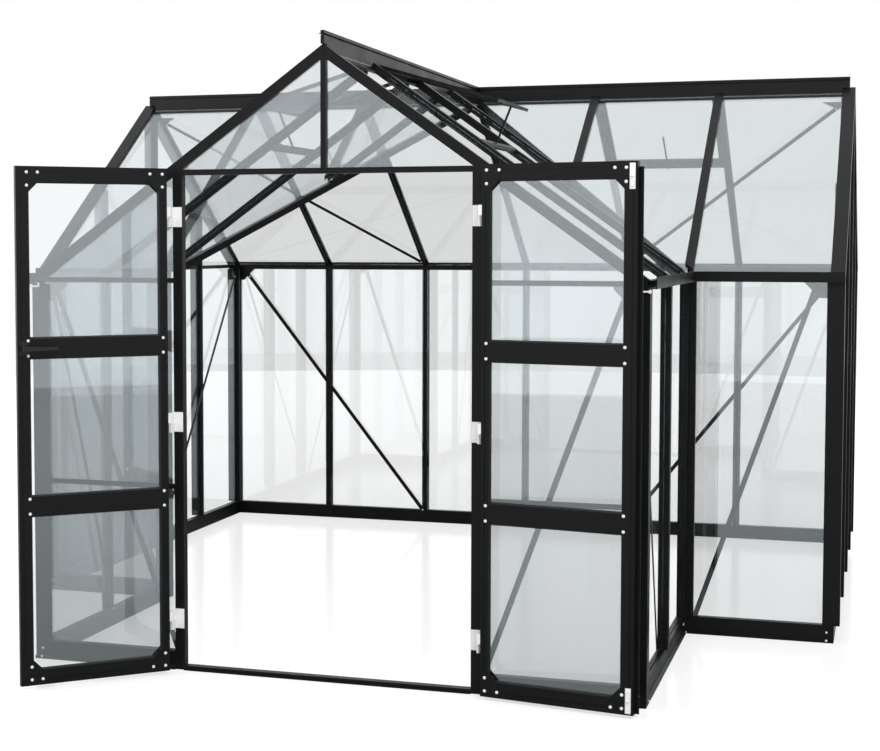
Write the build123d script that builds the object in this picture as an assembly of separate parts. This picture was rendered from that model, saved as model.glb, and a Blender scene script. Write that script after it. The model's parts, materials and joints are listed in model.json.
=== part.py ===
from build123d import *
import math
import os

os.makedirs("parts", exist_ok=True)

# A T-shaped glass greenhouse: a wing with its ridge along X and a porch with its ridge along Y.
# X runs to the right, Y into the house and Z up. The origin is on the ground, under the middle
# of the doorway, in the plane of the porch's front.

# Driving dimensions of the house, in millimetres
bay = 620.0
wing_half_bays = 3
porch_half_bays = 2
eave_height = 1565.0
roof_rise = 886.0
ridge_above_roof = 51.0
ridge_depth = 96.0
ridge_width = 34.0
ridge_overhang = 8.0
ridge_lip = 4.0
ridge_fin = 14.0
ridge_reach = 6.0
ridge_band = 14.0
ridge_groove = 5.0
ridge_nib = 3.0
rafter_tail = 8.0
valley_half = 28.0
valley_clear = 2.0
valley_depth = 56.0
valley_play = 8.0
head_clear = 1.4
head_depth = 22.0
threshold_height = 17.0
threshold_foot = 5.0
door_half_width = 607.0
strip_height = 735.0

# Driving dimensions of the profiles
glass = 4.0
glass_depth = 12.0
side_proud = 10.0
gable_proud = 34.0
core_width = 6.0
cap_lap = 8.0
cap_width = 40.0
web_width = 14.0
gable_post_width = 22.0
bar_depth = 34.0
post_width = 58.0
wing_post_width = 38.0
inner_post_width = 38.0
inner_web = 8.0
core_depth = 28.0
play = 1.0
mitre_gap = 0.5
rail_height = 75.0
rail_foot = 10.0
foot_top = 16.0
rail_lip = 8.0
beam_height = 28.0
gutter_rise = 16.0
gutter_reach = 34.0
gutter_wall = 3.0
roof_lift = 10.0
strip_width = 20.0
brace_width = 22.0
brace_thickness = 3.0
gusset_leg = 95.0

# Driving dimensions of the roof windows
vent_length = 532.0
vent_thickness = 14.0
vent_frame = 20.0
vent_gap = 3.0
vent_side = 0.5
vent_proud = 3.0
stay_width = 8.0

# Driving dimensions of the doors
leaf_width = 592.0
leaf_thickness = 26.0
leaf_gap = 7.5
leaf_bottom = 12.0
leaf_rise = 2.0
hinge_stile = 30.0
free_stile = 46.0
free_groove = 15.0
end_rail_height = 58.0
rail_groove = 22.0
mid_rail_height = 73.0
mid_rail_centres = (702.0, 1305.0)
corner_plate = 2.0
corner_infill = 42.0
axis_out = 18.0
axis_inset = 19.0
axis_ahead = 0.5
hinge_heights = (207.0, 995.0, 1805.0)
hinge_height = 78.0
knuckle_radius = 7.0
pin_radius = 3.0
pin_play = 0.5
left_open = 138.0
right_open = 171.0
astragal_reach = 14.0
astragal_thickness = 3.0

strip_flange = 3.0
strip_web = 2.0
sill_width = 18.0
sill_depth = 20.0
gusset_edge = 30.0
vent_open = 19.0
porch_vent_bay = 1
groove = 2.0
hinge_plate = 2.0
hinge_arm = 4.0
lever_length = 125.0
lever_out = 42.0
lever_root = 10.0
lever_thick = 10.0
lever_tip = 5.0
rose_width = 30.0
rose_height = 52.0
rose_thickness = 3.0
neck_width = 16.0
bolt_inset = 18.0
bolt_width = 21.0
bolt_length = 92.0
bolt_short = 7.0
bolt_plate = 1.5
bolt_slide = 10.0
bolt_out = 6.0
catch_length = 36.0
catch_size = 6.0
catch_eye = 7.0
catch_drop = 12.0

# Places worked out from them
wing_half = wing_half_bays * bay
porch_half = porch_half_bays * bay
porch_depth = porch_half
ridge_y = porch_depth + porch_half
back_y = ridge_y + porch_half
slope = roof_rise / porch_half
pitch = math.atan(slope)
apex = eave_height + roof_lift + roof_rise
ridge_under = apex + ridge_above_roof - ridge_depth
ridge_half = ridge_width / 2
web_half = web_width / 2
cap_half = cap_width / 2
pane_inset = web_half + play
pane_foot = rail_height - rail_lip
eave_under = eave_height - beam_height
eave_strip = eave_height - strip_width / 2
jamb_inner = door_half_width - cap_half
jamb_outer = door_half_width + cap_half
far = 2 * wing_half
core_end = glass_depth + core_width
rafter_reach = core_end + cap_lap
proud = {"front": 0.0, "wing_front": side_proud, "back": side_proud,
         "porch": side_proud, "gable": gable_proud}


def plumb(depth):
    """The upright drop that stands for a depth square to the roof."""
    return depth / math.cos(pitch)


def roof_z(u):
    """The height of the roof's outer face at a distance inward from the eave."""
    return eave_height + roof_lift + slope * u


head_height = roof_z(porch_half - jamb_inner) - plumb(cap_width) - head_clear
leaf_top = head_height + leaf_rise
valley_drop = plumb(glass_depth + glass) + valley_clear


# Shapes and files
def face_of(outline):
    """A flat face in XY with the given corners."""
    return make_face(Polyline(*outline, close=True))


def along_x(outline, x0, x1):
    """A prism along X from an outline of (Y, Z) points."""
    plane = Plane(origin=(x0, 0, 0), x_dir=(0, 1, 0), z_dir=(1, 0, 0))
    return extrude(plane * face_of(outline), amount=x1 - x0)


def along_y(outline, y0, y1):
    """A prism along Y from an outline of (X, Z) points."""
    plane = Plane(origin=(0, y1, 0), x_dir=(1, 0, 0), z_dir=(0, -1, 0))
    return extrude(plane * face_of(outline), amount=y1 - y0)


def upright(outline, z0, z1):
    """A prism along Z from an outline of (X, Y) points."""
    return extrude(Plane.XY.offset(z0) * face_of(outline), amount=z1 - z0)


def rectangle(a0, a1, b0, b1):
    """The corners of a rectangle."""
    return [(a0, b0), (a1, b0), (a1, b1), (a0, b1)]


def flat_bar(start, end, width):
    """The corners of a straight bar of a width between two points."""
    half = width / 2 / math.dist(start, end)
    na, nb = (start[1] - end[1]) * half, (end[0] - start[0]) * half
    return [
        (start[0] + na, start[1] + nb), (end[0] + na, end[1] + nb),
        (end[0] - na, end[1] - nb), (start[0] - na, start[1] - nb),
    ]


def mirrored(shape):
    """The shape's mirror image across X = 0."""
    return mirror(shape, about=Plane.YZ)


def both_sides(shapes):
    """The shapes of the right side and their mirror images on the left."""
    return list(shapes) + [mirrored(shape) for shape in shapes]


def largest(shape):
    """The largest solid of a cut."""
    return shape.solids().sort_by(SortBy.VOLUME)[-1]


def write(name, shapes):
    """One node: its solids in parts/NAME.step."""
    solids = []
    for shape in shapes:
        solids.extend(shape.solids())
    export_step(Compound(children=solids), f"parts/{name}.step")


# Walls are named front, wing_front, back, porch and gable. The last two are those on the right;
# their twins on the left are mirror images. A depth is measured inward from the outer face.
def wall_panel(wall, outline, d0, d1):
    """A slab in a wall from an outline of (along, Z) points, between two depths."""
    if wall == "front":
        return along_y(outline, d0, d1)
    if wall == "wing_front":
        return along_y(outline, porch_depth + d0, porch_depth + d1)
    if wall == "back":
        return along_y(outline, back_y - d1, back_y - d0)
    half = wing_half if wall == "gable" else porch_half
    return along_x(outline, half - d1, half - d0)


def wall_box(wall, a0, a1, d0, d1, z0, z1):
    """A box along and into a wall."""
    return wall_panel(wall, rectangle(a0, a1, z0, z1), d0, d1)


def glazing_bar(wall, a, z0, z1, half=cap_half):
    """An upright T bar: its cap outside, proud of the base, and its web inward."""
    cap = wall_box(wall, a - half, a + half, -proud[wall], glass_depth, z0, z1)
    web = wall_box(wall, a - web_half, a + web_half, glass_depth, bar_depth, z0, z1)
    return cap + web


def pane(wall, a0, a1, z0, z1):
    """A pane behind the caps of a wall."""
    return wall_box(wall, a0, a1, glass_depth, glass_depth + glass, z0, z1)


def pane_edges(wall_start, wall_end, bars):
    """The edges of the panes between two ends of a wall with bars between them."""
    starts = [wall_start] + [a + pane_inset for a in bars]
    ends = [a - pane_inset for a in bars] + [wall_end]
    return list(zip(starts, ends))


def strip(wall, a0, a1, z):
    """A level H bar that joins two panes, one above the other."""
    d0 = glass_depth
    d1 = d0 + glass
    half = strip_width / 2
    shape = wall_box(wall, a0, a1, d0 - strip_flange, d0, z - half, z + half)
    shape = shape + wall_box(wall, a0, a1, d0, d1, z - strip_web / 2, z + strip_web / 2)
    return shape + wall_box(wall, a0, a1, d1, d1 + strip_flange, z - half, z + half)


def under_roof(wall, middle, drop, top):
    """A block below a gable's roof line, less a depth, and below a level top."""
    edge = roof_z(0) - plumb(drop)
    peak = edge + roof_rise
    level = min(top, peak - 1)
    reach = (peak - level) / slope
    outline = [
        (middle - porch_half, -bay), (middle + porch_half, -bay), (middle + porch_half, edge),
        (middle + reach, level), (middle - reach, level), (middle - porch_half, edge),
    ]
    return wall_panel(wall, outline, -post_width, post_width)


# Roof slopes are named porch, wing_front and back. An outline is given as (inward, Z) points.
def slope_prism(side, outline, a0, a1):
    """A prism along the eave of a slope."""
    if side == "porch":
        return along_y([(porch_half - u, z) for u, z in outline], a0, a1)
    if side == "wing_front":
        return along_x([(porch_depth + u, z) for u, z in outline], a0, a1)
    return along_x([(back_y - u, z) for u, z in outline], a0, a1)


def layer(u0, u1, drop0, drop1):
    """The section of a layer of the roof between two depths, with plumb ends."""
    return [
        (u0, roof_z(u0) - plumb(drop0)), (u1, roof_z(u1) - plumb(drop0)),
        (u1, roof_z(u1) - plumb(drop1)), (u0, roof_z(u0) - plumb(drop1)),
    ]


def seated(u_end, depth):
    """A rafter's section, notched over the eave beam."""
    low = roof_z(bar_depth) - plumb(depth)
    notch = [(bar_depth, low), (bar_depth, eave_height)]
    if low >= eave_height:
        notch = [((plumb(depth) - roof_lift) / slope, eave_height)]
    tail = -rafter_tail
    top = [(tail, eave_height), (tail, roof_z(tail)), (u_end, roof_z(u_end))]
    return top + [(u_end, roof_z(u_end) - plumb(depth))] + notch


def rafter(side, a):
    """A T bar from the eave beam to the side of the ridge."""
    u_end = porch_half - ridge_half
    cap = slope_prism(side, seated(u_end, glass_depth), a - cap_half, a + cap_half)
    return cap + slope_prism(side, seated(u_end, bar_depth), a - web_half, a + web_half)


def gable_rafter(side, edge, inward):
    """A gable's rafter: a flange over the gable's glass, a core and a cap over the roof's glass."""
    outside = -proud["front" if side == "porch" else "gable"]
    layers = (
        (outside, glass_depth, cap_width),
        (glass_depth, core_end, core_depth),
        (core_end, rafter_reach, glass_depth),
    )
    shape = None
    for d0, d1, depth in layers:
        a0, a1 = sorted((edge + inward * d0, edge + inward * d1))
        part = slope_prism(side, seated(porch_half - mitre_gap, depth), a0, a1)
        shape = part if shape is None else shape + part
    return shape


# Base: a ring of rails with a foot outside and a lip in front of the glass
def rail_section(sign, offset):
    """The rail's section as (offset, height), inward along the sign."""
    inside = glass_depth + glass
    points = [
        (-rail_foot, 0), (bar_depth, 0), (bar_depth, rail_height), (inside, rail_height),
        (inside, pane_foot), (glass_depth, pane_foot), (glass_depth, rail_height),
        (0, rail_height), (0, foot_top), (-rail_foot, rail_foot),
    ]
    return [(offset + sign * d, z) for d, z in points]


wing_edge = wing_half + rail_foot
back_rail = along_x(rail_section(-1, back_y), -wing_edge, wing_edge)
wing_rail = along_x(rail_section(1, porch_depth), porch_half - bar_depth, wing_edge)
panel_rail = along_x(rail_section(1, 0), jamb_outer, porch_half + rail_foot)
gable_rail = along_y(rail_section(-1, wing_half), porch_depth - rail_foot, back_y + rail_foot)
gable_rail = largest(gable_rail - back_rail - wing_rail)
side_rail = along_y(rail_section(-1, porch_half), -rail_foot, porch_depth)
side_rail = largest(side_rail - panel_rail - wing_rail)
wing_rail = wing_rail - upright(rectangle(0, porch_half, 0, porch_depth), -1, rail_height + 1)
write("base_rails_across", [back_rail] + both_sides([wing_rail, panel_rail]))
write("base_rails_along", both_sides([gable_rail, side_rail]))
threshold_section = [
    (-rail_foot, 0), (bar_depth, 0), (bar_depth, threshold_height), (0, threshold_height),
    (0, threshold_foot), (-rail_foot, threshold_foot),
]
write("threshold", [along_x(threshold_section, -jamb_inner, jamb_inner)])


# Corner posts: an angle of two caps round a square core, and its reverse in the inner corners
def outer_post(corner_x, corner_y, dx, dy, walls, width):
    """A post in an outer corner; dx and dy point into the house, walls are those across X and Y."""
    c, b, w = glass_depth, bar_depth, post_width
    p0, q0 = (-proud[wall] for wall in walls)
    outline = [(p0, q0), (width, q0), (width, c), (b, c), (b, b), (c, b), (c, w), (p0, w)]
    plan = [(corner_x + dx * p, corner_y + dy * q) for p, q in outline]
    return upright(plan, rail_height, eave_under)


def inner_post():
    """The post where the porch's side meets the wing's front."""
    c, b, w, h, s = glass_depth, bar_depth, inner_web, inner_post_width, side_proud
    outline = [
        (s, -s), (h, -s), (h, c), (w, c), (w, b), (-b, b), (-b, -w), (-c, -w), (-c, -h), (s, -h),
    ]
    plan = [(porch_half + p, porch_depth + q) for p, q in outline]
    return upright(plan, rail_height, eave_under)


posts = [
    outer_post(porch_half, 0, -1, 1, ("porch", "front"), post_width),
    outer_post(wing_half, porch_depth, -1, 1, ("gable", "wing_front"), wing_post_width),
    outer_post(wing_half, back_y, -1, -1, ("gable", "back"), wing_post_width),
    inner_post(),
]
write("corner_posts", both_sides(posts))

# Upright glazing bars
back_bars = [n * bay for n in range(1 - wing_half_bays, wing_half_bays)]
gable_bars = [ridge_y + n * bay for n in range(1 - porch_half_bays, porch_half_bays)]
side_bars = [n * bay for n in range(1, porch_half_bays)]
gable_room = under_roof("gable", ridge_y, cap_width, ridge_under)
back_uprights = [glazing_bar("back", a, rail_height, eave_under) for a in back_bars]
side_uprights = [glazing_bar("porch", a, rail_height, eave_under) for a in side_bars]
write("wall_bars", back_uprights + both_sides(side_uprights))

# The doorway: jambs, head beam and the post over it
front_room = under_roof("front", 0, cap_width, apex)
jamb_core = door_half_width + web_half
jamb = wall_box("front", jamb_inner, jamb_outer, 0, glass_depth, 0, apex)
jamb = jamb + wall_box("front", jamb_inner, jamb_core, glass_depth, bar_depth, 0, apex)
write("door_jambs", both_sides([jamb & front_room]))
head_rebate = head_height - rail_lip
head_under = head_height - head_depth
head_section = [
    (0, head_under), (bar_depth, head_under), (bar_depth, head_height),
    (glass_depth + glass, head_height), (glass_depth + glass, head_rebate),
    (glass_depth, head_rebate), (glass_depth, head_height), (0, head_height),
]
write("door_head", [along_x(head_section, -jamb_inner, jamb_inner)])
gable_post = glazing_bar("front", 0, head_height, apex, gable_post_width / 2) & front_room
gable_uprights = [glazing_bar("gable", a, rail_height, apex) & gable_room for a in gable_bars]
write("gable_bars", [gable_post] + both_sides(gable_uprights))


# Eave beams, each with its gutter outside
def eave(side, a0, a1, gutter0, gutter1):
    """A square beam under the rafters and a channel hung on it."""
    lip = eave_height + gutter_rise
    floor = eave_under + gutter_wall
    outside = gutter_wall - gutter_reach
    channel = [
        (0, eave_under), (0, floor), (outside, floor), (outside, lip),
        (-gutter_reach, lip), (-gutter_reach, eave_under),
    ]
    beam = slope_prism(side, rectangle(0, bar_depth, eave_under, eave_height), a0, a1)
    return beam + slope_prism(side, channel, gutter0, gutter1)


eave_end = wing_half + gable_proud
wing_eave = eave("wing_front", porch_half - bar_depth, eave_end, porch_half, eave_end)
porch_eave = eave("porch", 0, porch_depth, 0, porch_depth - gutter_reach)
back_eave = eave("back", -eave_end, eave_end, -eave_end, eave_end)
write("eaves_across", [back_eave] + both_sides([wing_eave]))
write("eaves_along", both_sides([porch_eave]))


# Ridges: the cap stands above the roof, the body hangs between the rafters
def ridge_outline(middle, foot):
    """A ridge's section round a middle line, over the given corners of its foot's right half."""
    w, g, lip = ridge_fin / 2, ridge_nib, ridge_fin / 2 + ridge_reach
    top = apex + ridge_above_roof
    band = top - ridge_band
    half = foot + [
        (w, apex), (w, band - ridge_groove), (w - g, band - ridge_groove), (w - g, band),
        (lip, band), (lip, band + g), (w, band + g), (w, top),
    ]
    return [(middle + a, z) for a, z in half] + [(middle - a, z) for a, z in reversed(half)]


def ridge_section(middle):
    """The whole section, with the wider body that hangs between the rafters."""
    body_top = apex - slope * ridge_half
    foot = [(ridge_half, ridge_under), (ridge_half, body_top), (ridge_fin / 2, body_top)]
    return ridge_outline(middle, foot)


def ridge_cap(middle):
    """The part of that section above the gable rafters."""
    return ridge_outline(middle, [])


body_half = wing_half - rafter_reach
wing_tip = wing_half + ridge_overhang
wing_ridge = along_x(ridge_section(ridge_y), -body_half, body_half)
wing_ridge = wing_ridge + along_x(ridge_cap(ridge_y), body_half, wing_tip)
wing_ridge = wing_ridge + along_x(ridge_cap(ridge_y), -wing_tip, -body_half)
porch_ridge = along_y(ridge_section(0), rafter_reach, ridge_y)
porch_ridge = porch_ridge + along_y(ridge_cap(0), -ridge_overhang, rafter_reach)
write("wing_ridge", [wing_ridge])
write("porch_ridge", [largest(porch_ridge - wing_ridge)])


# Valleys: in plan each runs at 45 degrees from the ridges' meeting to the inner corner
def beyond_valley(side, offset):
    """The space over a slope on its own side of the right valley, an offset from its line."""
    shift = offset * math.sqrt(2)
    start = ridge_y + shift
    plan = [(shift, ridge_y), (far, ridge_y), (far, start - far)]
    if side == "porch":
        start = ridge_y - shift
        plan = [(0, start), (0, -far), (start + far, -far)]
    return upright(plan, 0, apex + bay)


def valley():
    """The right valley's bar, notched over the eave beams and stopped at the ridges."""
    root = math.sqrt(2)
    run = porch_half * root
    seat = bar_depth * root + valley_half
    start = (play + valley_drop - roof_lift) / slope * root
    top, seat_z = roof_z(run / root), roof_z(seat / root)
    outline = [
        (start, eave_height), (start, eave_height + play), (run, top - valley_drop),
        (run, top - valley_depth), (seat, seat_z - valley_depth), (seat, eave_height),
    ]
    shift = valley_half / root
    corner = (porch_half - shift, porch_depth - shift, 0)
    plane = Plane(origin=corner, x_dir=(-1, 1, 0), z_dir=(1, 1, 0))
    bar = extrude(plane * face_of(outline), amount=2 * valley_half)
    return bar & upright(rectangle(ridge_half, far, 0, ridge_y - ridge_half), 0, apex)


write("valley_bars", both_sides([valley()]))

# Rafters
wing_beyond = beyond_valley("wing_front", valley_half)
porch_beyond = beyond_valley("porch", valley_half)
back_rafters = [rafter("back", a) for a in back_bars]
wing_front_rafters = [largest(rafter("wing_front", n * bay) & wing_beyond)
                      for n in range(1, porch_half_bays + 1)]
porch_rafters = [largest(rafter("porch", n * bay) & porch_beyond)
                 for n in range(1, 2 * porch_half_bays)]
write("wing_rafters", back_rafters + both_sides(wing_front_rafters))
write("porch_rafters", both_sides(porch_rafters))
gable_rafters = [
    gable_rafter("back", wing_half, -1),
    gable_rafter("wing_front", wing_half, -1),
    gable_rafter("porch", 0, 1),
]
write("gable_rafters", both_sides(gable_rafters))

# Level strips between panes
gable_marks = [porch_depth + bar_depth] + gable_bars + [back_y - bar_depth]
gable_strips = []
for n, (a, b) in enumerate(zip(gable_marks, gable_marks[1:])):
    a0 = a if n == 0 else a + cap_half
    a1 = b if n == len(gable_marks) - 2 else b - cap_half
    gable_strips.append(strip("gable", a0, a1, eave_strip) & gable_room)
panel_strips = [
    strip("front", jamb_outer, porch_half - post_width, strip_height),
    strip("front", jamb_outer, porch_half - bar_depth, eave_strip) & front_room,
]
write("glazing_strips", both_sides(gable_strips + panel_strips))

# Glass of the walls
pane_clear = bar_depth + play
step = strip_web / 2 + play / 2
back_panes = [pane("back", a0, a1, pane_foot, eave_under)
              for a0, a1 in pane_edges(pane_clear - wing_half, wing_half - pane_clear, back_bars)]
write("back_wall_glass", back_panes)
wing_pane = pane("wing_front", porch_half + inner_web + play, wing_half - pane_clear,
                 pane_foot, eave_under)
side_panes = [pane("porch", a0, a1, pane_foot, eave_under)
              for a0, a1 in pane_edges(pane_clear, porch_depth - inner_web - play, side_bars)]
write("side_wall_glass", both_sides([wing_pane] + side_panes))
glass_room = under_roof("gable", ridge_y, core_depth + play, apex)
gable_edges = pane_edges(porch_depth + pane_clear, back_y - pane_clear, gable_bars)
gable_panes = [pane("gable", a0, a1, pane_foot, eave_strip - step) for a0, a1 in gable_edges]
gable_panes += [pane("gable", a0, a1, eave_strip + step, apex) & glass_room for a0, a1 in gable_edges]
write("gable_glass", both_sides(gable_panes))
front_glass_room = under_roof("front", 0, core_depth + play, apex)
panel_a0, panel_a1 = jamb_core + play, porch_half - pane_clear
panel_panes = [
    pane("front", panel_a0, panel_a1, pane_foot, strip_height - step),
    pane("front", panel_a0, panel_a1, strip_height + step, eave_strip - step),
    pane("front", panel_a0, panel_a1, eave_strip + step, apex) & front_glass_room,
]
gable_top = pane("front", pane_inset, jamb_inner - play, head_rebate, apex) & front_glass_room
write("front_glass", both_sides(panel_panes + [gable_top]))

# Roof windows: a sill between two rafters, and a frame whose upper edge turns against the ridge
hinge_u = porch_half - ridge_half - vent_thickness * math.sin(pitch + math.radians(vent_open))
hinge_s = (hinge_u + vent_proud * math.sin(pitch)) / math.cos(pitch)
vent_low = hinge_s - vent_length
sill_top = vent_low * math.cos(pitch) - vent_gap
sill_foot = sill_top - sill_width
pane_heel = (plumb(glass_depth + glass) - roof_lift) / slope + play
pane_head = porch_half - ridge_half - ridge_lip
vents = [
    ("back", bay, 0.0),
    ("porch", porch_vent_bay * bay, vent_open),
]


def roof_pane(side, a0, a1, head):
    """A pane from the eave up to the ridge or to a roof window's sill."""
    section = layer(pane_heel, head, glass_depth, glass_depth + glass)
    return slope_prism(side, section, a0, a1)


def has_vent(side, a):
    """Whether a roof window stands in the bay that begins at a."""
    return any(side == name and abs(a - start) < play for name, start, angle in vents)


def bay_pane(side, a):
    """The pane of the roof bay that begins at a."""
    first = core_end + play if (side, a) in edge_bays else pane_inset
    last = core_end + play if (side, a + bay) in edge_bays else pane_inset
    head = sill_foot + web_half - play if has_vent(side, a) else pane_head
    return roof_pane(side, a + first, a + bay - last, head)


edge_bays = (("back", wing_half), ("wing_front", wing_half), ("porch", 0))
back_half_panes = [bay_pane("back", n * bay) for n in range(wing_half_bays)]
wing_glass_beyond = beyond_valley("wing_front", valley_play)
porch_glass_beyond = beyond_valley("porch", valley_play)
wing_front_panes = [largest(bay_pane("wing_front", n * bay) & wing_glass_beyond)
                    for n in range(wing_half_bays)]
porch_panes = [largest(bay_pane("porch", n * bay) & porch_glass_beyond)
               for n in range(2 * porch_half_bays)]
write("back_roof_glass", both_sides(back_half_panes))
write("wing_front_roof_glass", both_sides(wing_front_panes))
write("porch_roof_glass", both_sides(porch_panes))


def sill(side, a):
    """A T bar across a bay, under the lower edge of a roof window."""
    a0, a1 = a + cap_half, a + bay - cap_half
    flange = slope_prism(side, layer(sill_foot, sill_top, 0, glass_depth), a0, a1)
    stem = layer(sill_foot + web_half, sill_top, glass_depth, sill_depth)
    return flange + slope_prism(side, stem, a0, a1)


def slope_plane(side):
    """A slope's outer face: X along the eave, Y up the slope and Z out of the roof."""
    lean, rise = math.sin(pitch), math.cos(pitch)
    if side == "porch":
        return Plane(origin=(porch_half, 0, roof_z(0)), x_dir=(0, 1, 0), z_dir=(lean, 0, rise))
    return Plane(origin=(0, back_y, roof_z(0)), x_dir=(-1, 0, 0), z_dir=(0, lean, rise))


def flat_box(x0, x1, y0, y1, z0, z1):
    """A box in a slope's own directions."""
    return extrude(Plane.XY.offset(z0) * face_of(rectangle(x0, x1, y0, y1)), amount=z1 - z0)


def vent(side, start, angle):
    """A roof window's frame, glass and stay, swung up by an angle about its upper edge."""
    plane = slope_plane(side)
    edge = cap_half + vent_side
    x0, x1 = start + edge, start + bay - edge
    if side == "back":
        x0, x1 = -x1, -x0
    f, z0 = vent_frame, vent_proud - vent_thickness
    frame = flat_box(x0, x1, vent_low, hinge_s, z0, vent_proud)
    light = (x0 + f, x1 - f, vent_low + f, hinge_s - f)
    frame = frame - flat_box(*light, z0 - 1, vent_proud + 1)
    sheet_z = (z0 + vent_proud - glass) / 2
    sheet = flat_box(*light, sheet_z, sheet_z + glass)
    swing = Pos(0, hinge_s, vent_proud) * Rotation(-angle, 0, 0) * Pos(0, -hinge_s, -vent_proud)
    foot = (vent_low - vent_gap - sill_width / 3, -sill_depth)
    turn = math.radians(angle)
    arm_y, arm_z = vent_low + f / 2 - hinge_s, z0 - vent_proud
    tip = (
        hinge_s + arm_y * math.cos(turn) + arm_z * math.sin(turn),
        vent_proud - arm_y * math.sin(turn) + arm_z * math.cos(turn),
    )
    if angle == 0:
        under = -sill_depth - stay_width / 2
        foot_y = (sill_top + under * math.sin(pitch)) / math.cos(pitch) - sill_width / 2
        foot = (foot_y, under)
        tip = (foot_y + vent_length / 2, under)
    rod_x = (x0 + x1 - stay_width) / 2
    rod = along_x(flat_bar(foot, tip, stay_width), rod_x, rod_x + stay_width)
    place = plane.location
    return place * swing * frame, place * swing * sheet, place * rod


built_vents = [vent(*choice) for choice in vents]
vent_sills = [sill(side, start) for side, start, angle in vents]
write("vent_sills", both_sides(vent_sills))
write("vent_frames", both_sides([frame for frame, sheet, rod in built_vents]))
write("vent_glass", both_sides([sheet for frame, sheet, rod in built_vents]))
solid_parts = [frame for frame, sheet, rod in built_vents] + vent_sills
stays = []
for frame, sheet, rod in built_vents:
    for part in solid_parts:
        rod = largest(rod - part)
    stays.append(rod)
write("vent_stays", both_sides(stays))


# Gussets in the upper corners of the walls, and flat braces from them to the base
def gusset(wall, a, direction):
    """A three-cornered plate under the eave; direction points away from the corner."""
    top = eave_height - play
    tip = a + direction * gusset_leg
    outline = [
        (a, top), (tip, top), (tip, top - gusset_edge),
        (a + direction * gusset_edge, top - gusset_leg), (a, top - gusset_leg),
    ]
    return wall_panel(wall, outline, bar_depth, bar_depth + brace_thickness)


def brace(wall, a_top, a_foot, plate):
    """A flat bar from a gusset down to the base rail."""
    start = (a_top, eave_height - gusset_leg / 2)
    end = (a_foot, rail_height - brace_width / 2)
    outline = flat_bar(start, end, brace_width)
    bar = wall_panel(wall, outline, bar_depth, bar_depth + brace_thickness)
    return largest(bar - plate)


corner_in = bar_depth + brace_thickness + 2 * play
brace_runs = [
    ("back", wing_half - corner_in, -1, (wing_half_bays - 2) * bay),
    ("gable", porch_depth + corner_in, 1, ridge_y - brace_width),
    ("gable", back_y - corner_in, -1, ridge_y + brace_width),
    ("wing_front", wing_half - corner_in, -1, porch_half + corner_in),
    ("front", porch_half - bar_depth, -1, jamb_outer + play),
    ("porch", corner_in, 1, bay),
]
plates, braces = [], []
for wall, corner, direction, foot_a in brace_runs:
    plate = gusset(wall, corner, direction)
    plates.append(plate)
    braces.append(brace(wall, corner + direction * gusset_leg / 2, foot_a, plate))


def roof_flat(outline):
    """A flat plate under the back slope from an outline in the slope's own directions."""
    flat = Plane.XY.offset(-bar_depth - brace_thickness) * face_of(outline)
    return slope_plane("back").location * extrude(flat, amount=brace_thickness)


slope_length = porch_half / math.cos(pitch)
roof_corner = (rafter_reach + play - wing_half, slope_length - 2 * ridge_width)
roof_start = (roof_corner[0] + gusset_edge / 2, roof_corner[1] - gusset_edge)
roof_end = (-(wing_half_bays - 2) * bay, post_width)
plates.append(roof_flat([
    roof_corner, (roof_corner[0], roof_corner[1] - gusset_leg / 2),
    (roof_corner[0] + gusset_edge, roof_corner[1] - gusset_leg / 2),
    (roof_corner[0] + gusset_leg, roof_corner[1]),
]))
braces.append(largest(roof_flat(flat_bar(roof_start, roof_end, brace_width)) - plates[-1]))
write("gussets", both_sides(plates))
write("braces", both_sides(braces))


def catch():
    """A hook with an eye, on the porch's front corner, that a leaf is hung back on."""
    x1 = porch_half + side_proud
    x0 = x1 - catch_length
    y0, y1 = -2 * catch_size, -catch_size
    z = eave_under - catch_drop
    bar = wall_box("front", x0, x1, y0, y1, z, z + catch_size)
    tip = wall_box("front", x0, x0 + catch_size, y0, y1, z, z + 3 * catch_size)
    root = wall_box("front", porch_half - catch_size, porch_half + catch_size, y1, 0, z, z + catch_size)
    plane = Plane(origin=(x1, y1, z + catch_size / 2), x_dir=(1, 0, 0), z_dir=(0, -1, 0))
    return bar + tip + root + extrude(plane * Circle(catch_eye), amount=catch_size)


write("door_catches", both_sides([catch()]))

# Doors, drawn shut on the right and then mirrored and swung to the angle that they stand at
axis_x = door_half_width + axis_out
inner_face = -leaf_gap
outer_face = inner_face - leaf_thickness
axis_y = outer_face - corner_plate - axis_ahead
hinge_edge = axis_x - axis_inset
free_edge = hinge_edge - leaf_width
stile_inner = hinge_edge - hinge_stile
stile_free = free_edge + free_stile


def grooved(width0, width1, middle, horizontal_first):
    """The section of a stile or rail: a rectangle with a shallow groove down each broad face."""
    g, y0, y1 = groove, outer_face, inner_face
    points = [
        (width0, y0), (middle - g, y0), (middle - g, y0 + g), (middle + g, y0 + g), (middle + g, y0),
        (width1, y0), (width1, y1), (middle + g, y1), (middle + g, y1 - g), (middle - g, y1 - g),
        (middle - g, y1), (width0, y1),
    ]
    return points if horizontal_first else [(y, a) for a, y in points]


def end_rail(z0, z1, groove_z):
    """A grooved rail between the stiles, at the leaf's top or foot."""
    return along_x(grooved(z0, z1, groove_z, False), stile_free, stile_inner)


def leaf_plate(x_corner, z_corner, dx, dz, y0, y1, a):
    """A corner plate over a stile's width and a rail's, with its inner corner filled on the slant."""
    b, c = end_rail_height, corner_infill
    outline = [(play, play), (a + c, play), (a + c, b), (a, b + c), (play, b + c)]
    return along_y([(x_corner + dx * p, z_corner + dz * q) for p, q in outline], y0, y1)


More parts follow.
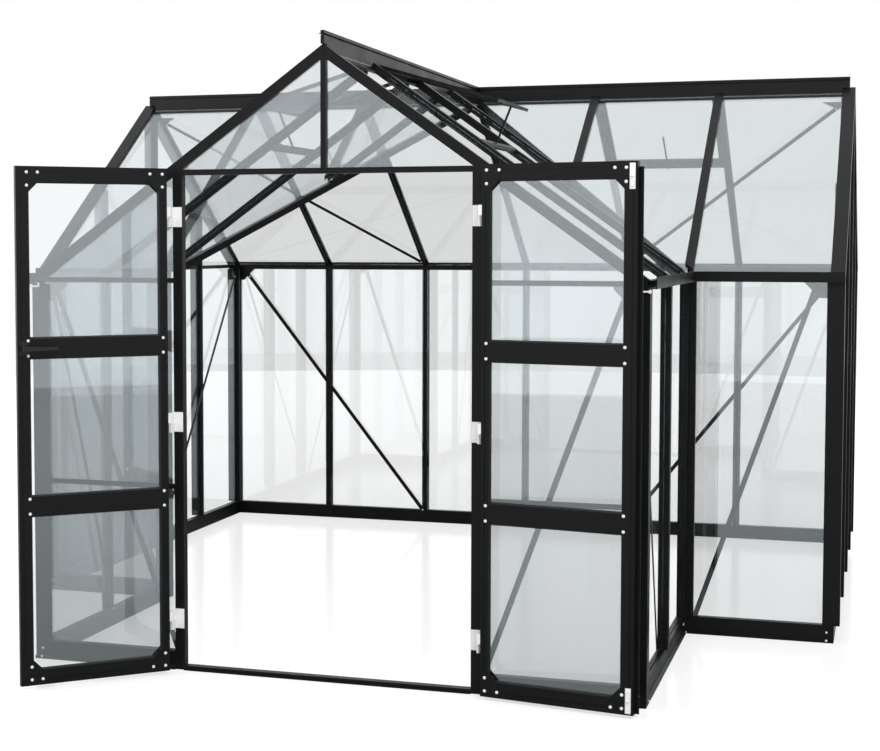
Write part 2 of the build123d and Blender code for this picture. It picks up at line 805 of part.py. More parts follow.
bottom_rail_top = leaf_bottom + end_rail_height
top_rail_under = leaf_top - end_rail_height
mid_edges = [(z - mid_rail_height / 2, z + mid_rail_height / 2) for z in mid_rail_centres]
rail_edges = [(leaf_bottom, bottom_rail_top)] + mid_edges + [(top_rail_under, leaf_top)]
hinge_groove = (stile_inner + hinge_edge) / 2
stile_sections = [
    grooved(stile_inner, hinge_edge, hinge_groove, True),
    grooved(free_edge, stile_free, free_edge + free_groove, True),
]
leaf_stiles = [upright(section, leaf_bottom, leaf_top) for section in stile_sections]
leaf_rails = [
    end_rail(leaf_bottom, bottom_rail_top, leaf_bottom + rail_groove),
    end_rail(top_rail_under, leaf_top, leaf_top - rail_groove),
]
leaf_rails += [along_y(rectangle(stile_free, stile_inner, z0, z1), outer_face, inner_face)
               for z0, z1 in mid_edges]
sheet_y = (inner_face + outer_face - glass) / 2
leaf_panes = [
    along_y(rectangle(stile_free, stile_inner, below[1], above[0]), sheet_y, sheet_y + glass)
    for below, above in zip(rail_edges, rail_edges[1:])
]
leaf_plates = [
    leaf_plate(x, z, dx, dz, y, y + corner_plate, width)
    for x, dx, width in ((hinge_edge, -1, hinge_stile), (free_edge, 1, free_stile))
    for z, dz in ((leaf_bottom, 1), (leaf_top, -1))
    for y in (inner_face, outer_face - corner_plate)
]


def fixed_hinge(height):
    """A plate on the jamb, with the lower knuckle and the pin."""
    low, high = height - hinge_height / 2, height - play
    plate = wall_box("front", jamb_inner + play, axis_x + hinge_arm, -hinge_plate, 0,
                     low, height + hinge_height / 2)
    arm = upright(rectangle(axis_x - hinge_arm, axis_x + hinge_arm, axis_y, -hinge_plate), low, high)
    knuckle = Pos(axis_x, axis_y, low) * extrude(Circle(knuckle_radius), amount=high - low)
    pin = Pos(axis_x, axis_y, low) * extrude(Circle(pin_radius), amount=hinge_height - play)
    return plate + arm + knuckle + pin


def leaf_hinge(height):
    """A plate on the leaf's edge, with the upper knuckle round the pin."""
    low, high = height + play, height + hinge_height / 2
    reach = axis_x - knuckle_radius + hinge_plate
    plate = upright(rectangle(hinge_edge, reach, outer_face - corner_plate, inner_face - play), low, high)
    knuckle = Pos(axis_x, axis_y, low) * extrude(Circle(knuckle_radius), amount=high - low)
    bore = Pos(axis_x, axis_y, low - 1) * extrude(Circle(pin_radius + pin_play), amount=high - low + 2)
    return plate + knuckle - bore


write("jamb_hinges", both_sides([fixed_hinge(z) for z in hinge_heights]))
leaf_hinges = [leaf_hinge(z) for z in hinge_heights]

# The lever stands on both faces of the left leaf, at the upper of its two middle rails
lever_x = free_edge + free_stile / 2
lever_z = max(mid_rail_centres)


def lever(face, out):
    """A rose, a neck and a tapered lever that points to the hinges."""
    shapes = []
    for width, height, y0, y1 in (
        (rose_width, rose_height, 0, rose_thickness),
        (neck_width, neck_width, 0, lever_out),
    ):
        outline = rectangle(lever_x - width / 2, lever_x + width / 2,
                            lever_z - height / 2, lever_z + height / 2)
        shapes.append(along_y(outline, *sorted((face + out * y0, face + out * y1))))
    start, end = lever_x - lever_root, lever_x + lever_length
    outline = [
        (start, lever_z - lever_root), (end, lever_z - lever_tip),
        (end, lever_z + lever_tip), (start, lever_z + lever_root),
    ]
    outer = face + out * lever_out
    bar = along_y(outline, *sorted((outer - out * lever_thick, outer)))
    return shapes[0] + shapes[1] + bar


# The right leaf has the strip that covers the joint, and a bolt at each end of its free stile
plate_face = outer_face - corner_plate
astragal = along_y(rectangle(free_edge - astragal_reach, free_edge + free_stile / 2,
                             leaf_bottom + play, leaf_top - end_rail_height / 3),
                   plate_face - astragal_thickness, plate_face)
packer = along_y(rectangle(free_edge, free_edge + free_stile / 2,
                           bottom_rail_top + 2 * corner_infill, top_rail_under - 2 * corner_infill),
                 plate_face, outer_face)


def leaf_bolt(z_end, dz):
    """A flat plate near the leaf's end, with the slide's raised body in its half away from it."""
    middle = free_edge + bolt_inset
    near = z_end + dz * bolt_short
    y0 = inner_face + corner_plate
    plate = along_y(rectangle(middle - bolt_width / 2, middle + bolt_width / 2,
                              *sorted((near, near + dz * bolt_length))), y0, y0 + bolt_plate)
    z0, z1 = sorted((near + dz * bolt_length / 2, near + dz * (bolt_length - bolt_slide)))
    return plate + along_y(rectangle(middle - bolt_slide / 2, middle + bolt_slide / 2, z0, z1),
                           y0, y0 + bolt_out)


leaf_bolts = [leaf_bolt(leaf_bottom, 1), leaf_bolt(leaf_top, -1)]


def hung(shapes, left):
    """Leaf pieces at the angle that the leaf stands open."""
    if left:
        axis = Axis((-axis_x, axis_y, 0), (0, 0, 1))
        return [mirrored(shape).rotate(axis, -left_open) for shape in shapes]
    axis = Axis((axis_x, axis_y, 0), (0, 0, 1))
    return [shape.rotate(axis, right_open) for shape in shapes]


for name, left in (("left", True), ("right", False)):
    write(f"{name}_door_stiles", hung(leaf_stiles, left))
    write(f"{name}_door_rails", hung(leaf_rails, left))
    write(f"{name}_door_glass", hung(leaf_panes, left))
    write(f"{name}_door_corner_plates", hung(leaf_plates, left))
    write(f"{name}_door_hinges", hung(leaf_hinges, left))
write("left_door_levers", hung([lever(inner_face, 1), lever(outer_face, -1)], True))
write("right_door_astragal", hung([astragal + packer], False))
write("right_door_bolts", hung(leaf_bolts, False))
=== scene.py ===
# %% [markdown]
# # A glass greenhouse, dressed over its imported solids
# The house is a frame of black powder-coated aluminium with clear panes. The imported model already
# has every bar, pane, hinge and handle at its real size. This script gives those pieces their
# finishes, adds the small hardware that is too fine for the solids, and sets up floor, light and
# camera. Everything is in metres, with X to the right, Y into the house and Z up.

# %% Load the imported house
import json
import math
import bmesh
import bpy
import numpy as np
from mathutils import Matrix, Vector


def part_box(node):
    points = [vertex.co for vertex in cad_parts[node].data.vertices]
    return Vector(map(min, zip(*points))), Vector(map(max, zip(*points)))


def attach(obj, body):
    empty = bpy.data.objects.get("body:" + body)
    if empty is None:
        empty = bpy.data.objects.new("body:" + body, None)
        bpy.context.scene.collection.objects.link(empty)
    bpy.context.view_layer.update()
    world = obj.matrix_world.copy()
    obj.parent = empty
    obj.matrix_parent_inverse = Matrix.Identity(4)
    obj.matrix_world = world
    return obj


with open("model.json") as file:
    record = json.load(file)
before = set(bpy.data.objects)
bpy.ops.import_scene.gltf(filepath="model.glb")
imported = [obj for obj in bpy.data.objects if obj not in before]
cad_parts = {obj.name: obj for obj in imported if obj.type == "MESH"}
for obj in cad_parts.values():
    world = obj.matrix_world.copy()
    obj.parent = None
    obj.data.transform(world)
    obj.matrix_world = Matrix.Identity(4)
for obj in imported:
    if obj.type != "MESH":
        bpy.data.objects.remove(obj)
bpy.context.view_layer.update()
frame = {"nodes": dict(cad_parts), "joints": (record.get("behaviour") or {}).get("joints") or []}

nodes = frame["nodes"]
joints = {joint["name"]: joint for joint in frame["joints"]}

# %% [markdown]
# ## Small helpers for materials
# A finish is a Principled shader with a few patterns behind its sockets. Those patterns could be
# painted or photographed, but procedural noise in Object coordinates needs no unwrapping, has the
# same scale on every bar and moves with the object that carries it.

# %% Material helpers
MM = 0.001


def new_material(name):
    """An empty node material with a Principled shader, and that shader."""
    material = bpy.data.materials.new(name)
    material.use_nodes = True
    return material, material.node_tree.nodes["Principled BSDF"]


def add_node(tree, kind, **values):
    """A node of the given kind, with its own properties set."""
    node = tree.nodes.new(kind)
    for key, value in values.items():
        setattr(node, key, value)
    return node


def noise(tree, vector, scale, detail=2.0):
    """A noise pattern; scale is in waves per metre."""
    texture = add_node(tree, "ShaderNodeTexNoise")
    texture.inputs["Scale"].default_value = scale
    texture.inputs["Detail"].default_value = detail
    tree.links.new(vector, texture.inputs["Vector"])
    return texture.outputs["Fac"]


def ramp(tree, value, low, high, to_low, to_high):
    """Maps a value between two limits onto two others, in a straight line."""
    node = add_node(tree, "ShaderNodeMapRange")
    limits = {"From Min": low, "From Max": high, "To Min": to_low, "To Max": to_high}
    for socket, number in limits.items():
        node.inputs[socket].default_value = number
    tree.links.new(value, node.inputs["Value"])
    return node.outputs["Result"]


def mix_colours(tree, factor, first, second):
    """A blend between two colours by a factor that changes over the surface."""
    node = add_node(tree, "ShaderNodeMix", data_type="RGBA")
    tree.links.new(factor, node.inputs["Factor"])
    node.inputs[6].default_value = (*first, 1)
    node.inputs[7].default_value = (*second, 1)
    return node.outputs[2]


print("helpers ready")

# %% [markdown]
# ## The coating's skin
# Powder coat melts into a film with a very fine ripple, like the skin of an orange, and its gloss
# changes a little from place to place. All coated pieces share that skin, so it is one node group:
# it puts out a height for the Bump node and a gloss mask, and each material gives its own amounts.

# %% Coating skin group
gloss_waves = 6.0
gloss_detail = 3.0


def build_skin():
    """Ripple: fine noise at the given waves a metre. Gloss: slow noise, about 0.3 to 0.7."""
    group = bpy.data.node_groups.new("coating_skin", "ShaderNodeTree")
    group.interface.new_socket("Ripple Scale", in_out="INPUT", socket_type="NodeSocketFloat")
    group.interface.new_socket("Height", in_out="OUTPUT", socket_type="NodeSocketFloat")
    group.interface.new_socket("Gloss", in_out="OUTPUT", socket_type="NodeSocketFloat")
    inside = add_node(group, "NodeGroupInput")
    outside = add_node(group, "NodeGroupOutput")
    place = add_node(group, "ShaderNodeTexCoord").outputs["Object"]
    ripple = add_node(group, "ShaderNodeTexNoise")
    ripple.inputs["Detail"].default_value = 1.0
    group.links.new(place, ripple.inputs["Vector"])
    group.links.new(inside.outputs["Ripple Scale"], ripple.inputs["Scale"])
    group.links.new(ripple.outputs["Fac"], outside.inputs["Height"])
    gloss = noise(group, place, gloss_waves, gloss_detail)
    group.links.new(gloss, outside.inputs["Gloss"])
    return group


skin_group = build_skin()
ripple_strength = 0.25
ripple_depth = 0.03 * MM
gloss_low, gloss_high = 0.3, 0.7


def coated(name, low, high, roughness, specular, ripple_scale=900.0):
    """A coated metal: two close shades and a roughness range that follow the skin's gloss mask."""
    material, shader = new_material(name)
    tree = material.node_tree
    skin = add_node(tree, "ShaderNodeGroup", node_tree=skin_group)
    skin.inputs["Ripple Scale"].default_value = ripple_scale
    tree.links.new(mix_colours(tree, skin.outputs["Gloss"], low, high), shader.inputs["Base Color"])
    rough = ramp(tree, skin.outputs["Gloss"], gloss_low, gloss_high, *roughness)
    tree.links.new(rough, shader.inputs["Roughness"])
    bump = add_node(tree, "ShaderNodeBump")
    bump.inputs["Strength"].default_value = ripple_strength
    bump.inputs["Distance"].default_value = ripple_depth
    tree.links.new(skin.outputs["Height"], bump.inputs["Height"])
    tree.links.new(bump.outputs["Normal"], shader.inputs["Normal"])
    shader.inputs["Specular IOR Level"].default_value = specular
    return material


black_coat = coated("frame_black", (0.0040, 0.0042, 0.0044), (0.0056, 0.0058, 0.0060),
                    roughness=(0.28, 0.40), specular=0.20)
white_coat = coated("hinge_white", (0.86, 0.86, 0.85), (0.90, 0.90, 0.90),
                    roughness=(0.35, 0.45), specular=0.4)
fitting_white = coated("white_fittings", (0.83, 0.83, 0.83), (0.88, 0.88, 0.88),
                       roughness=(0.28, 0.38), specular=0.5)
lever_black = coated("lever_black", (0.006, 0.006, 0.006), (0.009, 0.009, 0.009),
                     roughness=(0.3, 0.4), specular=0.4, ripple_scale=1500.0)
print("coatings", black_coat.name, white_coat.name, fitting_white.name, lever_black.name)

# %% [markdown]
# ## Clear panes
# A 4 mm pane lets most of the light through, tints it a cool grey and mirrors its surroundings,
# more at a shallow angle. A refracting shader would do it too, but its shadows come out black
# without caustics, and the floor inside would be dark. So each face is a thin film: Alpha sets how
# much of it is seen, a dark base gives a cool veil and the mirror layer on top of it the rest. A
# pane is a closed box, so a look through it meets two such faces. Seen along the roof, the panes
# of the real house leave clear white gaps between the bars, so there the film thins out.

# %% Glass
glass_low, glass_high = (0.14, 0.19, 0.21), (0.19, 0.24, 0.26)
streak_waves = 1.6
thinning = (0.7, 0.92)
film = (0.21, 0.03)
glass_roughness = 0.02
mirror_ior = 4.7
mirror_tint = (0.89, 0.97, 1.0, 1.0)


def build_glass():
    """Alpha goes in a straight line from the face-on film to the grazing one, over `thinning`."""
    material, shader = new_material("pane_glass")
    tree = material.node_tree
    place = add_node(tree, "ShaderNodeTexCoord").outputs["Object"]
    streak = noise(tree, place, streak_waves)
    base = mix_colours(tree, streak, glass_low, glass_high)
    tree.links.new(base, shader.inputs["Base Color"])
    facing = add_node(tree, "ShaderNodeLayerWeight")
    facing.inputs["Blend"].default_value = 0.5
    alpha = ramp(tree, facing.outputs["Facing"], *thinning, *film)
    tree.links.new(alpha, shader.inputs["Alpha"])
    shader.inputs["Roughness"].default_value = glass_roughness
    shader.inputs["IOR"].default_value = mirror_ior
    shader.inputs["Specular Tint"].default_value = mirror_tint
    shader.inputs["Specular IOR Level"].default_value = 1.0
    return material


pane_glass = build_glass()
glass_count = 0
for name, piece in nodes.items():
    if "glass" in name:
        finish = pane_glass
        glass_count += 1
    elif name.endswith("_hinges"):
        finish = white_coat
    elif name in ("right_door_bolts", "door_catches"):
        finish = fitting_white
    elif name == "left_door_levers":
        finish = lever_black
    else:
        finish = black_coat
    piece.data.materials.clear()
    piece.data.materials.append(finish)
print("nodes of glass", glass_count)

# %% [markdown]
# ## Finding the solids again
# Bolts sit on plates, rail ends and bars, and a node holds many of those at once. Their places
# could be typed in, but then they would drift when the frame changes. Instead each node's mesh is
# split into its loose solids, and every bolt is placed from the box of the solid that carries it.

# %% Loose solids and the doors' own frames
def solids_of(node):
    """Corners that share a triangle take the lowest of their labels until nothing changes."""
    mesh = nodes[node].data
    raw = np.empty(len(mesh.vertices) * 3)
    mesh.vertices.foreach_get("co", raw)
    points, same = np.unique(raw.reshape(-1, 3).round(5), axis=0, return_inverse=True)
    mesh.calc_loop_triangles()
    corners = np.empty(len(mesh.loop_triangles) * 3, dtype=np.int32)
    mesh.loop_triangles.foreach_get("vertices", corners)
    triangles = same.reshape(-1)[corners].reshape(-1, 3)
    label = np.arange(len(points))
    changed = True
    while changed:
        lowest = label[triangles].min(axis=1)
        spread = label.copy()
        np.minimum.at(spread, triangles.ravel(), np.repeat(lowest, 3))
        changed = bool((spread != label).any())
        label = spread
    return [points[label == one] for one in np.unique(label)]


def turn(points, centre, angle):
    """Rotates points about an upright line through a centre, by the usual sine and cosine rule."""
    c, s = math.cos(angle), math.sin(angle)
    matrix = np.array([[c, -s, 0], [s, c, 0], [0, 0, 1]])
    return (points - centre) @ matrix.T + centre


def hinge_of(side):
    """A door's hinge line, and the angle that turns the door from its standing place to shut."""
    joint = joints[f"{side}_door_hinge"]
    low, high = joint["range_deg"]
    shut = high if abs(high) > abs(low) else low
    return np.array(joint["pos_m"]), math.radians(shut)


def shut_solids(side, node):
    """The boxes (low corner, high corner) of a door node's solids, with the door shut."""
    centre, angle = hinge_of(side)
    boxes = []
    for points in solids_of(f"{side}_door_{node}"):
        shut = turn(points, centre, angle)
        boxes.append((shut.min(axis=0), shut.max(axis=0)))
    return boxes


plate_counts = [len(shut_solids(side, "corner_plates")) for side in ("left", "right")]
print("corner plates", plate_counts)

# %% [markdown]
# ## Bolt heads
# Plates, rails and braces are held by pan-head bolts in pale plated steel, the only bright dots
# on the black frame. A bolt head could be a scaled sphere, but a revolved profile has the flat
# crown and the small shoulder of the real one, and arrays make all heads of a group at once.

# %% Revolved heads
head_radius = 6.2 * MM
head_height = 3.4 * MM
head_sides = 14
crown_ring = 0.02
head_profile = np.array([
    (crown_ring, 1.0), (0.55, 0.97), (0.82, 0.78), (0.96, 0.42), (1.0, 0.0),
])


def grid_mesh(name, rings, body, finish, closed_cap=True):
    """A mesh from an array (pieces, rows, columns, 3), with a quad between each four neighbours."""
    count, rows, columns, _ = rings.shape
    first = (np.arange(count) * rows * columns)[:, None, None]
    row = (np.arange(rows - 1) * columns)[None, :, None]
    column = np.arange(columns)[None, None, :]
    following = (column + 1) % columns
    quads = np.stack([
        first + row + column, first + row + columns + column,
        first + row + columns + following, first + row + following,
    ], axis=-1).reshape(-1, 4)
    faces = quads.tolist()
    if closed_cap:
        last = first[:, 0, 0] + (rows - 1) * columns
        faces += [list(range(start + columns - 1, start - 1, -1)) for start in last]
    mesh = bpy.data.meshes.new(name)
    mesh.from_pydata(rings.reshape(-1, 3).tolist(), [], faces)
    mesh.validate()
    mesh.materials.append(finish)
    piece = bpy.data.objects.new(name, mesh)
    bpy.context.scene.collection.objects.link(piece)
    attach(piece, body)
    return piece


def frames_for(normals):
    """Two directions square to each normal: cross products, first with its least aligned axis."""
    helper = np.eye(3)[np.abs(normals).argmin(axis=1)]
    first = np.cross(helper, normals)
    first /= np.linalg.norm(first, axis=1, keepdims=True)
    return first, np.cross(normals, first)


def heads(name, seats, normals, body, finish, radius=head_radius, height=head_height):
    """Each head is its profile turned about its normal: seat + r (cos a u + sin a v) + h n."""
    seats, normals = np.array(seats), np.array(normals, dtype=float)
    u, v = frames_for(normals)
    angle = np.linspace(0, 2 * math.pi, head_sides, endpoint=False)
    round_part = np.cos(angle)[:, None, None] * u + np.sin(angle)[:, None, None] * v
    r = head_profile[:, 0][None, :, None, None] * radius
    h = head_profile[:, 1][None, :, None, None] * height
    rings = (seats[:, None, None] + r * round_part.transpose(1, 0, 2)[:, None]
             + h * normals[:, None, None])
    piece = grid_mesh(name, rings, body, finish)
    close_tops(piece.data)
    smooth(piece)
    print(name, len(seats))
    return piece


def close_tops(mesh):
    """Closes the small ring at each crown with one face."""
    shape = bmesh.new()
    shape.from_mesh(mesh)
    bmesh.ops.holes_fill(shape, edges=shape.edges, sides=head_sides)
    bmesh.ops.recalc_face_normals(shape, faces=shape.faces)
    shape.to_mesh(mesh)
    shape.free()


def smooth(piece, angle_deg=35.0):
    """Shades smoothly across edges flatter than an angle."""
    piece.data.shade_smooth()
    piece.data.set_sharp_from_angle(angle=math.radians(angle_deg))


print("head", head_radius, head_height)

# %% [markdown]
# ## Bolts on the doors
# Each corner plate has three heads: one in the corner and one out along each arm. Each end of a
# middle rail has a pair, one above the other, on the stile beside it. They are laid out with the
# door shut, where all faces are square, and then turned with the door to where it stands.

# %% Door bolts
corner_up = 22 * MM
corner_arm = 49.5 * MM
free_arm = 42 * MM
hinge_row = 18 * MM
free_row = 40.5 * MM
pair_height = 57 * MM


def door_bolts(side):
    """Seats on the plates' and stiles' faces, outside and inside, turned to the standing door.

    The rails are sorted by height, so the two in the middle of the list are the middle rails.
    """
    plates = shut_solids(side, "corner_plates")
    stiles = shut_solids(side, "stiles")
    rails = sorted(shut_solids(side, "rails"), key=lambda box: box[0][2])
    low = np.min([box[0] for box in plates], axis=0)
    high = np.max([box[1] for box in plates], axis=0)
    to_hinge = 1 if side == "right" else -1
    hinge_x, free_x = (high[0], low[0]) if side == "right" else (low[0], high[0])
    columns = ((hinge_x - to_hinge * hinge_row, -to_hinge * corner_arm),
               (free_x + to_hinge * free_row, to_hinge * free_arm))
    seats, normals = [], []
    for out, plate_y in ((-1.0, low[1]), (1.0, high[1])):
        stile_y = min(box[0][1] for box in stiles) if out < 0 else max(box[1][1] for box in stiles)
        for x, arm in columns:
            ends = ((low[2] + corner_up, corner_arm), (high[2] - corner_up, -corner_arm))
            for z, up in ends:
                seats += [(x, plate_y, z), (x + arm, plate_y, z), (x, plate_y, z + up)]
            for rail_low, rail_high in rails[1:3]:
                rail_z = (rail_low[2] + rail_high[2]) / 2
                seats += [(x, stile_y, rail_z + step * pair_height) for step in (-0.5, 0.5)]
        normals += [(0, out, 0)] * (len(seats) - len(normals))
    centre, angle = hinge_of(side)
    seats = turn(np.array(seats), centre, -angle)
    normals = turn(np.array(normals), np.zeros(3), -angle)
    return heads(f"{side}_door_bolt_heads", seats, normals, f"{side}_door",
                 fitting_white)


for side in ("left", "right"):
    door_bolts(side)

# %% [markdown]
# ## Bolts on the base
# The base rails are held to the posts by a pair of heads at each corner, one above the other.

# %% Base bolts
rail_end = 20 * MM
foot_reach = 10 * MM
base_seats = ((10 * MM, 0.0), (43 * MM, foot_reach))
small_radius, small_height = 5.0 * MM, 2.8 * MM
ridge_line = sum(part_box("wing_ridge")[corner][1] for corner in (0, 1)) / 2


def base_bolts():
    """For each rail, a pair near both ends: the lower head on the foot, the upper on the web."""
    seats, normals = [], []
    for node, across in (("base_rails_across", 0), ("base_rails_along", 1)):
        for points in solids_of(node):
            a, b = points.min(axis=0), points.max(axis=0)
            middle = (a[1 - across] + b[1 - across]) / 2
            far = middle > (ridge_line if across == 0 else 0.0)
            face, out = (b[1 - across], 1.0) if far else (a[1 - across], -1.0)
            for end in (a[across] + rail_end + foot_reach, b[across] - rail_end - foot_reach):
                for z, inward in base_seats:
                    seat, normal = [0.0, 0.0, z], [0.0, 0.0, 0.0]
                    seat[across], seat[1 - across] = end, face - out * inward
                    normal[1 - across] = out
                    seats.append(seat)
                    normals.append(normal)
    return heads("base_bolt_heads", seats, normals, "house", fitting_white,
                 radius=small_radius, height=small_height)


base_bolts()

# %% [markdown]
# ## Bolts on the braces
# Each flat brace is bolted at both ends, on the face towards the room. A brace may lie in a wall
# or in a roof slope, so its directions aren't known beforehand. The spread of its corners gives
# them: the longest direction runs along the bar and the shortest one is its thickness.

# %% Brace bolts
brace_end = 14 * MM
near_end = 3 * brace_end
room = np.array([0.0, ridge_line, 1.0])


def brace_bolts():
    """Singular vectors of the centred corners: the first is the length, the last the thickness."""
    seats, normals = [], []
    for points in solids_of("braces"):
        centre = (points.min(axis=0) + points.max(axis=0)) / 2
        along, _, through = np.linalg.svd(points - points.mean(axis=0))[2]
        through = through * np.sign(through @ (room - centre))
        lengths = (points - centre) @ along
        depth = ((points - centre) @ through).max()
        for end in (lengths.min() + brace_end, lengths.max() - brace_end):
            near = points[np.abs(lengths - end) < near_end]
            middle = near.mean(axis=0) if len(near) else centre
            seat = middle + along * (end - (middle - centre) @ along)
            seats.append(seat + through * (depth - (seat - centre) @ through))
            normals.append(through)
    return heads("brace_bolt_heads", seats, normals, "house", fitting_white,
                 radius=small_radius, height=small_height)


brace_bolts()

# %% [markdown]
# ## Screws in the hinges and knobs on the bolts
# The white hinges are screwed to the jamb and to the leaf's edge, and each sliding bolt is pushed
# by a small knob. These are the same revolved heads, only smaller or taller.

# %% Hinge screws and bolt knobs
screw_radius, screw_height = 3.2 * MM, 1.3 * MM
knob_radius, knob_height = 4.2 * MM, 7.0 * MM
jamb_plate = 2 * MM
jamb_row = 9 * MM
jamb_step = 25 * MM
leaf_step = 11 * MM


def jamb_screws():
    """Two screws, one above the other, on each jamb plate beside the knuckle."""
    seats = []
    for points in solids_of("jamb_hinges"):
        a, b = points.min(axis=0), points.max(axis=0)
        x = a[0] + jamb_row if a[0] > 0 else b[0] - jamb_row
        y, z = b[1] - jamb_plate, (a[2] + b[2]) / 2
        seats += [(x, y, z - jamb_step), (x, y, z + jamb_step)]
    normals = [(0.0, -1.0, 0.0)] * len(seats)
    return heads("jamb_hinge_screws", seats, normals, "house", white_coat,
                 radius=screw_radius, height=screw_height)


def leaf_fittings(side):
    """Screws on the leaf's edge plates, and on the right leaf a knob on each bolt's slide."""
    centre, angle = hinge_of(side)
    out = 1.0 if side == "right" else -1.0
    seats = []
    for low, high in shut_solids(side, "hinges"):
        edge = min(low[0], high[0], key=abs) + out * jamb_plate
        y, z = high[1] - jamb_row, (low[2] + high[2]) / 2
        seats += [(edge, y, z - leaf_step), (edge, y, z + leaf_step)]
    normals = turn(np.array([(out, 0.0, 0.0)] * len(seats)), np.zeros(3), -angle)
    seats = turn(np.array(seats), centre, -angle)
    heads(f"{side}_door_hinge_screws", seats, normals, f"{side}_door",
          white_coat, radius=screw_radius, height=screw_height)
    if side == "right":
        bolts = shut_solids(side, "bolts")
        knobs = [((low[0] + high[0]) / 2, high[1], (low[2] + high[2]) / 2) for low, high in bolts]
        normals = turn(np.array([(0.0, 1.0, 0.0)] * len(knobs)), np.zeros(3), -angle)
        knobs = turn(np.array(knobs), centre, -angle)
        heads("right_door_bolt_knobs", knobs, normals, "right_door",
              fitting_white, radius=knob_radius, height=knob_height)


jamb_screws()
for side in ("left", "right"):
    leaf_fittings(side)

# %% [markdown]
# ## Seals round the door panes
# Each door pane is held by a rubber seal that slopes from the frame's face down to the glass. A
# tube along the pane's edge would look like a cord; a swept profile with four mitred corners has
# the flat slope that catches one line of light.

# %% Door seals
rubber = coated("seal_rubber", (0.008, 0.008, 0.008), (0.014, 0.014, 0.014),
                roughness=(0.45, 0.6), specular=0.3, ripple_scale=400.0)
seal_profile = np.array([(0.0, 0.88), (2.2, 0.86), (3.2, 0.6), (6.0, 0.12), (6.4, 0.0)])


def door_seals(side):
    """For each pane and face: the profile (inset in mm, share of frame depth) at four corners."""
    stiles = shut_solids(side, "stiles")
    frame_low = min(box[0][1] for box in stiles)
    frame_high = max(box[1][1] for box in stiles)
    rings = []
    for low, high in shut_solids(side, "glass"):
        for glass_y, frame_y in ((low[1], frame_low), (high[1], frame_high)):
            loop = []
            for inset, share in seal_profile:
                d, y = inset * MM, glass_y + (frame_y - glass_y) * share
                x0, x1, z0, z1 = low[0] + d, high[0] - d, low[2] + d, high[2] - d
                loop.append([(x0, y, z0), (x1, y, z0), (x1, y, z1), (x0, y, z1)])
            rings.append(loop if frame_y < glass_y else [row[::-1] for row in loop])
    centre, angle = hinge_of(side)
    rings = turn(np.array(rings), centre, -angle)
    piece = grid_mesh(f"{side}_door_seals", rings, f"{side}_door", rubber, False)
    print(side, "door seals", len(rings))
    return piece


for side in ("left", "right"):
    door_seals(side)

# %% [markdown]
# ## Floor and surroundings
# The house stands on a white floor with a white surround. The floor is a wide disc, so that the
# panes mirror its edge as a faint level line. The eye sees a white floor that keeps the house's
# shadow, while mirrors see a darker one, which gives the panes their step in tone at that line.

# %% Floor
floor_radius = 14.0
floor_sides = 96
floor_middle = 1.8
floor_drop = -0.5 * MM
floor_shade, mirrored_shade = (0.45, 0.45, 0.45), (0.29, 0.29, 0.29)
floor_glow = 0.62
floor_roughness, floor_specular = 0.15, 0.1


def build_floor():
    """A disc: the points of a circle, closed by one face."""
    angle = np.linspace(0, 2 * math.pi, floor_sides, endpoint=False)
    rim = np.stack([np.cos(angle) * floor_radius, np.sin(angle) * floor_radius + floor_middle,
                    np.full(floor_sides, floor_drop)], axis=1)
    mesh = bpy.data.meshes.new("studio_floor")
    mesh.from_pydata(rim.tolist(), [], [list(range(floor_sides))])
    floor = bpy.data.objects.new("studio_floor", mesh)
    bpy.context.scene.collection.objects.link(floor)
    material, shader = new_material("studio_white")
    tree = material.node_tree
    shader.inputs["Roughness"].default_value = floor_roughness
    shader.inputs["Specular IOR Level"].default_value = floor_specular
    path = add_node(tree, "ShaderNodeLightPath")
    shade = mix_colours(tree, path.outputs["Is Glossy Ray"], floor_shade, mirrored_shade)
    tree.links.new(shade, shader.inputs["Base Color"])
    glow = ramp(tree, path.outputs["Is Camera Ray"], 0.0, 1.0, 0.0, floor_glow)
    tree.links.new(glow, shader.inputs["Emission Strength"])
    shader.inputs["Emission Color"].default_value = (1, 1, 1, 1)
    mesh.materials.append(material)
    return floor


build_floor()
print("floor radius", floor_radius)

# %% World and lamps
surround_light = 0.8
lamp_aim = (0, floor_middle, 1.0)
lamp_size = 4.0


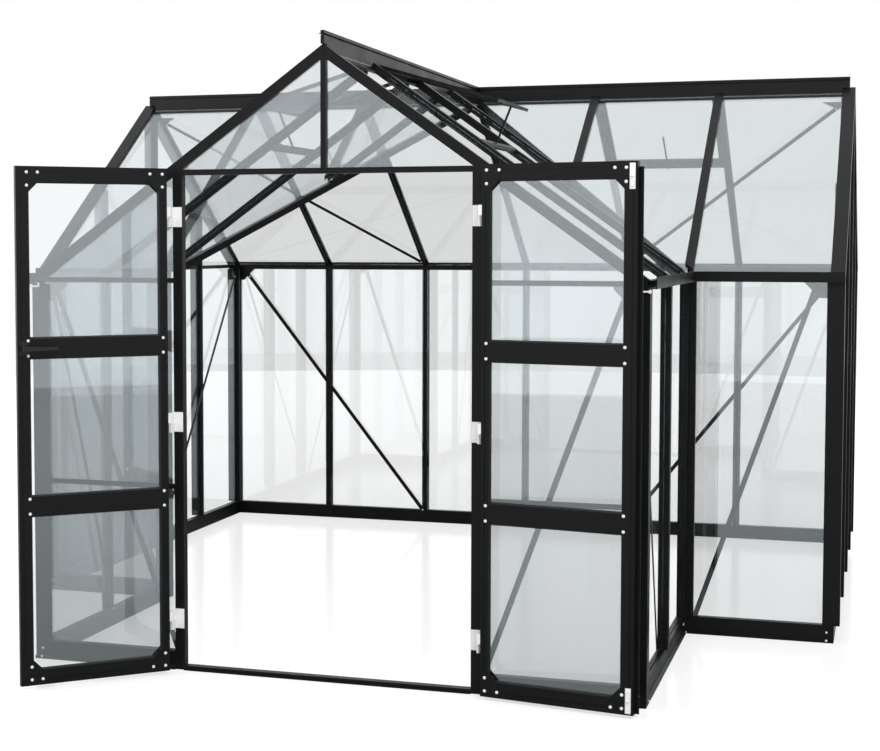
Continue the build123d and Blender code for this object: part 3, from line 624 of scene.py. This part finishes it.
def build_world():
    """White for camera, mirror and refracted rays, and a plain level for all others."""
    world = bpy.data.worlds.new("studio_world")
    bpy.context.scene.world = world
    world.use_nodes = True
    tree = world.node_tree
    background = tree.nodes["Background"]
    path = add_node(tree, "ShaderNodeLightPath")
    seen = add_node(tree, "ShaderNodeMath", operation="MAXIMUM")
    tree.links.new(path.outputs["Is Camera Ray"], seen.inputs[0])
    tree.links.new(path.outputs["Is Glossy Ray"], seen.inputs[1])
    all_seen = add_node(tree, "ShaderNodeMath", operation="MAXIMUM")
    tree.links.new(seen.outputs[0], all_seen.inputs[0])
    tree.links.new(path.outputs["Is Transmission Ray"], all_seen.inputs[1])
    level = ramp(tree, all_seen.outputs[0], 0.0, 1.0, surround_light, 1.0)
    background.inputs["Color"].default_value = (1, 1, 1, 1)
    tree.links.new(level, background.inputs["Strength"])


def lamp(name, place, watts):
    """A square soft lamp at a place, turned towards the middle of the house."""
    data = bpy.data.lights.new(name, "AREA")
    data.size = lamp_size
    data.energy = watts
    light = bpy.data.objects.new(name, data)
    bpy.context.scene.collection.objects.link(light)
    light.location = place
    ray = Vector(lamp_aim) - Vector(place)
    light.rotation_euler = ray.to_track_quat("-Z", "Y").to_euler()


build_world()
lamp("key_lamp", (4.5, -6.0, 7.5), 450)
lamp("fill_lamp", (-6.0, -3.0, 5.0), 200)
print("lamps set")

# %% [markdown]
# ## Camera
# The viewpoint stands in front and to the right of the open doors at about head height. Its place
# and lens come from matching the house's corners in a picture of 880 by 751 pixels.

# %% Camera
camera_place = (2.0885, -6.0704, 1.7101)
camera_tilt_deg, camera_turn_deg = 86.648, 17.487
camera_data = bpy.data.cameras.new("camera")
camera_data.lens = 68.39
camera_data.sensor_width = 36.0
camera_data.shift_x = 0.0829
camera_data.shift_y = -0.0413
camera = bpy.data.objects.new("camera", camera_data)
camera.location = camera_place
camera.rotation_euler = (math.radians(camera_tilt_deg), 0.0, math.radians(camera_turn_deg))
bpy.context.scene.collection.objects.link(camera)
bpy.context.scene.camera = camera
bpy.context.scene.view_settings.view_transform = "Standard"
